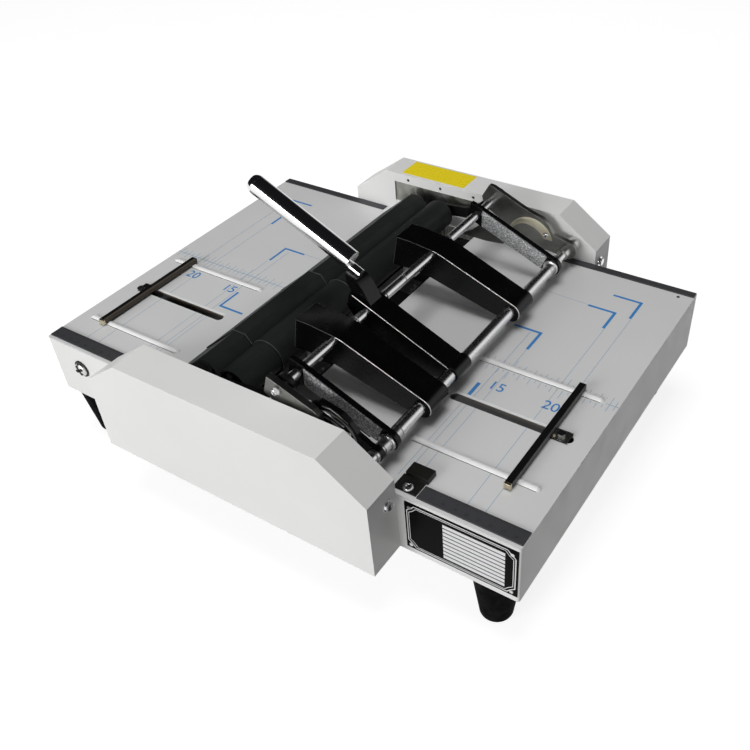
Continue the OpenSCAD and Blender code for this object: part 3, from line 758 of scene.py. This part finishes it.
SIDE_SCREW = (-206.6, -23.4)  # centre in X and Z
WASHER_Y, HEAD_Y = 176.4, 177.6
CROSS_Y = (178.6, 180.6)
CROSS = ((5.2, 1.35), (-5.2, 1.35), (-5.2, -1.35), (5.2, -1.35))
TO_NEAR_AND_FAR = (-1, 1)
f = Form()
for way in TO_NEAR_AND_FAR:
    f.lathe((SIDE_SCREW[0], way * WASHER_Y, SIDE_SCREW[1]), (0, way, 0),
            [(0, 8.6), (1.0, 8.6), (1.3, 7.9), (1.3, 0)])
f.make("side_screw_washers", "seam_dark_and_painted_shade", bevel=0.1)
f = Form()
for way in TO_NEAR_AND_FAR:
    f.lathe((SIDE_SCREW[0], way * HEAD_Y, SIDE_SCREW[1]), (0, way, 0),
            [(0, 6.9), (1.2, 6.6), (2.4, 5.0), (2.8, 3.0), (2.9, 0)])
f.make("side_screw_heads", "bright_steel")
f = Form()
for way in TO_NEAR_AND_FAR:
    for turn in (0.5, 0.5 + math.pi / 2):
        c, s = math.cos(turn), math.sin(turn)
        pts = [(SIDE_SCREW[0] + c * a - s * b, SIDE_SCREW[1] + s * a + c * b) for a, b in CROSS]
        f.prism(pts, way * CROSS_Y[0], way * CROSS_Y[1])
f.make("side_screw_cross_shade", "seam_dark_and_painted_shade", smooth=False)
f = Form()
f.screw((149.8, -168, 1.42), (0, 0, 1), 4.3, 2.4)
f.make("guide_screw", "bright_steel")

# Near link: a strap from the rear shaft, and the plate behind it with the crescent window, in
# gloss black as painted shade

WINDOW_CENTRE = (80, 18)
WINDOW_R = 25
WINDOW_LOW = (75, 12.5)  # centre of the lower arc
WINDOW_SCREW = (97, 28.6)
TO_NEAR = (0, -1, 0)
TO_FAR = (0, 1, 0)


def crescent_loop(radius, low_centre, low_radius, floor_z):
    """The part of a window's circle outside a lower one and above a level, as one loop."""
    def kept(points, centre, limit, outside):
        return [(x, z) for x, z in points if z >= floor_z
                and (math.hypot(x - centre[0], z - centre[1]) >= limit) == outside]
    upper = circle_points(WINDOW_CENTRE, radius, -10, 191, 4)
    lower = circle_points(low_centre, low_radius, -10, 191, 4)
    return (kept(upper, low_centre, low_radius, True)
            + kept(lower, WINDOW_CENTRE, radius, False)[::-1])


window = crescent_loop(WINDOW_R, WINDOW_LOW, 23, 24)
liner_hole = crescent_loop(23.6, WINDOW_LOW, 24.5, 25.2)
plate = [(100, 12), (84, 11), (60, 25), (52, 29), (56, 38), (72, 50), (83, 47.5), (92, 45),
         (99, 39.5), (105, 31), (115.5, 25.0)]
plate += circle_points(FRONT_SHAFT, 6.5, 100, -101, -10)
f = Form()
f.pierced_plate(plate, [window, circle_points(FRONT_SHAFT, 5.7, 0, 360, 12)], -165.5, -161.0)
# painted shade: the plate is gloss black for the shade it lies in
inner_plate = f.make("near_link_plate_painted_shade", "gloss_black", SWING, smooth=False)
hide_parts("outer_link_near")
f = Form()
strap = [(28, 43), (24.2, 45), (29.8, 62.2), (71.4, 46.2), (76, 43), (76, 22), (62, 21)]
f.pierced_plate(strap, [circle_points(REAR_SHAFT, 3.25, 0, 360, 15)], -173.5, -167.5)
f.lathe((68, -168, 26), TO_FAR, [(0, 0), (0, 4), (3, 4), (3, 0)])
f.make("near_link_strap", "link_steel", SWING, smooth=False, bevel=0.3)
f = Form()
f.screw((35.5, -173.4, 49.0), TO_NEAR, 3.2, 1.6)
f.screw((WINDOW_SCREW[0], -166.2, WINDOW_SCREW[1]), TO_NEAR, 2.8, 1.3)
f.make("strap_screws", "chrome", SWING)

# Liners and facings of the two crescent windows, with their end screws. The near liner's rim is a
# painted highlight and the near facing is painted shade, where the far ones are cream.

# near: painted highlight on the rim and painted shade on the facing
LINERS = {"near": dict(y=-166.3, rim="painted_edge_highlight", face="seam_dark_and_painted_shade", low=WINDOW_LOW, low_r=23.8),
          "far": dict(y=159.7, rim="cream_plate", face="cream_plate", low=(77, 15), low_r=20.6)}
for side, liner in LINERS.items():
    y = liner["y"]
    f = Form()
    f.pierced_plate(window, [liner_hole], y, y + 5.6)
    rim = f.make(side + "_window_liner", liner["rim"], SWING, smooth=False)
    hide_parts("link_liners")
    f = Form()
    f.prism(crescent_loop(24.3, liner["low"], liner["low_r"], 24.2), y + 0.6, y + 3.0)
    f.lathe((WINDOW_SCREW[0], y + 0.2, WINDOW_SCREW[1]), TO_FAR,
            [(0, 0), (0, 3.3), (3.2, 3.3), (3.2, 0)])
    f.make(side + "_window_facing", liner["face"], SWING, bevel=0.1)
f = Form()
f.screw((WINDOW_SCREW[0], 159.9, WINDOW_SCREW[1]), TO_NEAR, 3.1, 1.5)
f.make("liner_screw", "chrome", SWING)

# Painted highlights along the top of the near window, as thin bars

f = Form()
f.edge_line([(74.8, 46.7), (82.2, 47.1), (89.2, 44.3), (97.8, 39.2)], -165.9, 0.6)
f.make("near_window_highlight", "link_steel", SWING)
f = Form()
f.edge_line([(75.6, 42.2), (81.2, 39.7), (87.3, 36.6), (93.6, 33.9)], -165.8, 0.8)
f.make("near_window_inner_highlight", "painted_edge_highlight", SWING)

# Webs below the pads of the inner links, in a darker copy of the link steel as painted shade, the
# near one carried down as a dark sheet where shade falls, and flange rings where the links meet
# the front shaft

WEB_TOP = [(22, 26.2), (33.5, 34.2), (45, 44), (68, 34.5)]
WEB_LOW = [(66, 27.5), (49, 25.8)]
f = Form()
f.prism(WEB_TOP + [(68, 28)] + WEB_LOW, 127.0, 130.6)
f.make("far_link_web", "link_steel_painted_shade", SWING, smooth=False, bevel=0.3)
f = Form()
f.prism(WEB_TOP + [(104, 19), (102, 12.5), (68, 26)] + WEB_LOW, -148.0, -144.4)
f.make("near_link_web_painted_shade", "link_steel_painted_shade", SWING, smooth=False, bevel=0.3)
f = Form()
for y in (-151.4, 123.6):
    f.lathe((FRONT_SHAFT[0], y, FRONT_SHAFT[1]), TO_FAR,
            [(0, 4.6), (0, 6.9), (0.6, 7.6), (2.6, 7.6), (2.6, 4.6), (0, 4.6)])
f.make("link_flange_rings", "satin_chrome", SWING)

# Painted shade in the screw holes above the far housing's window, as dark discs, and ruler strips
# beside that housing

f = Form()
for x in (-74.4, -34.2, 5.7):
    f.lathe((x, 177.0, 38.4), TO_FAR, [(0, 0), (0, 1.5), (0.4, 1.5), (0.4, 0)])
f.make("far_screw_hole_shade", "seam_dark_and_painted_shade")
f = Form()
for x0, x1 in ((112, 146.8), (-146.8, -104)):
    f.box((x0, FAR_RULER_Y[0], 0.0), (x1, FAR_RULER_Y[1], 1.1))
f.make("far_ruler_ends", "ruler_black", bevel=0.2)

# Painted highlights along the top edges of the two arms, as thin bright and dim bars

ARM_NOSE = (120.5, 17.0)
ARM_R = 9.4
ARM_BEND = (41, 56.95)
EDGE_R = 0.42
FINE_EDGE_R = 0.3
arm_edge = [ARM_BEND, (47.8, 55.2)] + circle_points(ARM_NOSE, ARM_R - 0.25, 60, -31, -15)
f = Form()
for y in (-103.75, 43.25):
    f.edge_line(arm_edge, y, EDGE_R)
f.make("arm_edge_highlights", "painted_edge_highlight", SWING)
f = Form()
for y in (-103.8, 43.2):
    f.edge_line([(2.5, 60.4), (17, 59.9), ARM_BEND], y, FINE_EDGE_R)
    f.edge_line([(2.2, 60.2), (-3.8, 30.6)], y, FINE_EDGE_R)
f.make("arm_rear_edge_highlights", "painted_dim_highlight", SWING)

# Painted highlights along the edges of the middle cover where it steps over the outer two

FOLD = (-25.0, 20.0)  # centre of the rounded part over the fold slot
FOLD_R = 15.2
STEP = 1.3
cover_edge = [(-99.5 - STEP, 1.0), (-59.5 - STEP, 34.3 + STEP), (-47, 34.3 + STEP), (-40.4, 26.6)]
cover_edge += circle_points(FOLD, FOLD_R + STEP, 150, -21, -10)
f = Form()
for y in (-116.4, -12.1):
    f.edge_line(cover_edge, y, 0.28)
f.make("cover_step_highlights", "painted_dim_highlight")

# Spacer sleeves on the front shaft between the arms and links, and a painted highlight along the
# lever's edge

SLEEVES = ((-135.5, -104.6), (-76.4, -59.1), (-35.4, 42.6), (70.6, 116.5))
SLEEVE_BORE, SLEEVE_R = 4.4, 5.6
f = Form()
for y0, y1 in SLEEVES:
    f.lathe((FRONT_SHAFT[0], y0, FRONT_SHAFT[1]), TO_FAR,
            [(0, SLEEVE_BORE), (0, SLEEVE_R), (y1 - y0, SLEEVE_R), (y1 - y0, SLEEVE_BORE)], 36)
f.make("front_shaft_sleeves", "satin_chrome", bevel=0.3)
f = Form()
f.edge_line([(26, 64.6), (60, 49.3), (119.4, 22.7)], -58.25, EDGE_R)
f.make("lever_edge_highlight", "painted_edge_highlight", SWING)

# Floor, background and lamps

FLOOR_HALF = 9.0  # metres
FLOOR_GREY = 0.30
FLOOR_GLOW = 0.86
DOME_AXIS = (-0.7, -0.3, 0.6)
DOME_LEVEL = 0.07
DOME_LEAN = 0.12
DOME_LEAST = 0.03
FRONT_BAND = 0.7
GLOSS_LEAN = 0.45
GLOSS_STOPS = [(0.15, (0.9, 0.9, 0.91)), (0.26, (0.55, 0.55, 0.56)),
               (0.40, (0.07, 0.07, 0.07)), (0.52, (0.008, 0.008, 0.009))]


def add_stage():
    """A matt floor that keeps the shadow and glows white for the camera and for gloss."""
    r = FLOOR_HALF
    mesh = bpy.data.meshes.new("floor")
    mesh.from_pydata([(-r, -r, 0), (r, -r, 0), (r, r, 0), (-r, r, 0)], [], [(0, 1, 2, 3)])
    ob = bpy.data.objects.new("floor", mesh)
    scene.collection.objects.link(ob)
    m = bpy.data.materials.new("floor")
    t, sh = shader_of(m)
    sh.inputs["Base Color"].default_value = (FLOOR_GREY, FLOOR_GREY, FLOOR_GREY, 1)
    sh.inputs["Roughness"].default_value = 0.9
    sh.inputs["Specular IOR Level"].default_value = 0.0
    ray = t.nodes.new("ShaderNodeLightPath").outputs
    seen = maths(t, "MAXIMUM", ray["Is Camera Ray"], ray["Is Glossy Ray"])
    seen = maths(t, "MAXIMUM", seen, ray["Is Transmission Ray"])
    glow = t.nodes.new("ShaderNodeEmission")
    glow.inputs["Color"].default_value = (1, 1, 1, 1)
    link(t, maths(t, "MULTIPLY", seen, FLOOR_GLOW), glow.inputs["Strength"])
    both = t.nodes.new("ShaderNodeAddShader")
    link(t, sh.outputs[0], both.inputs[0])
    link(t, glow.outputs[0], both.inputs[1])
    link(t, both.outputs[0], t.nodes["Material Output"].inputs["Surface"])
    mesh.materials.append(m)


def add_world():
    """Plain surround: white for the camera, a soft dome for surfaces, a dark ceiling for gloss."""
    w = bpy.data.worlds.new("world")
    scene.world = w
    w.use_nodes = True
    t = w.node_tree
    direction = t.nodes.new("ShaderNodeTexCoord").outputs["Generated"]
    split = t.nodes.new("ShaderNodeSeparateXYZ")
    link(t, direction, split.inputs[0])
    x, y, z = split.outputs
    ray = t.nodes.new("ShaderNodeLightPath").outputs
    dot = t.nodes.new("ShaderNodeVectorMath")
    dot.operation = "DOT_PRODUCT"
    link(t, direction, dot.inputs[0])
    dot.inputs[1].default_value = Vector(DOME_AXIS).normalized()
    lean = maths(t, "MULTIPLY", dot.outputs["Value"], DOME_LEAN)
    dome = maths(t, "MAXIMUM", maths(t, "ADD", lean, DOME_LEVEL), DOME_LEAST)
    front = remap(t, maths(t, "MULTIPLY", y, -1.0), 0.0, 1.0, 0.1, 0.9, "SMOOTHSTEP")
    low = maths(t, "SUBTRACT", 1.0, remap(t, z, 0.0, 1.0, 0.1, 0.6, "SMOOTHSTEP"))
    band = maths(t, "MULTIPLY", maths(t, "MULTIPLY", front, low), FRONT_BAND)
    dome = maths(t, "ADD", dome, band)
    height = maths(t, "SUBTRACT", z, maths(t, "MULTIPLY", x, GLOSS_LEAN))
    light = mix(t, ray["Is Glossy Ray"], dome, ramp(t, height, GLOSS_STOPS))
    light = mix(t, ray["Is Camera Ray"], light, (1.0, 1.0, 1.0))
    background = t.nodes["Background"]
    link(t, light, background.inputs["Color"])
    background.inputs["Strength"].default_value = 1.0


def add_lamp(name, place, size, size_y, power):
    """A rectangular lamp that looks at the middle of the object."""
    lamp = bpy.data.lights.new(name, "AREA")
    lamp.energy = power
    lamp.shape = "RECTANGLE"
    lamp.size = size
    lamp.size_y = size_y
    ob = bpy.data.objects.new(name, lamp)
    scene.collection.objects.link(ob)
    ob.location = place
    aim = Vector((0, 0, 0.1)) - Vector(place)
    ob.rotation_euler = aim.to_track_quat("-Z", "Y").to_euler()
    return ob


add_stage()
add_world()
add_lamp("key", (-0.6, -2.6, 0.85), 1.6, 0.9, 46)
add_lamp("overhead", (0.05, -0.1, 2.2), 0.9, 0.9, 21).visible_glossy = False

scene.view_settings.view_transform = "Standard"
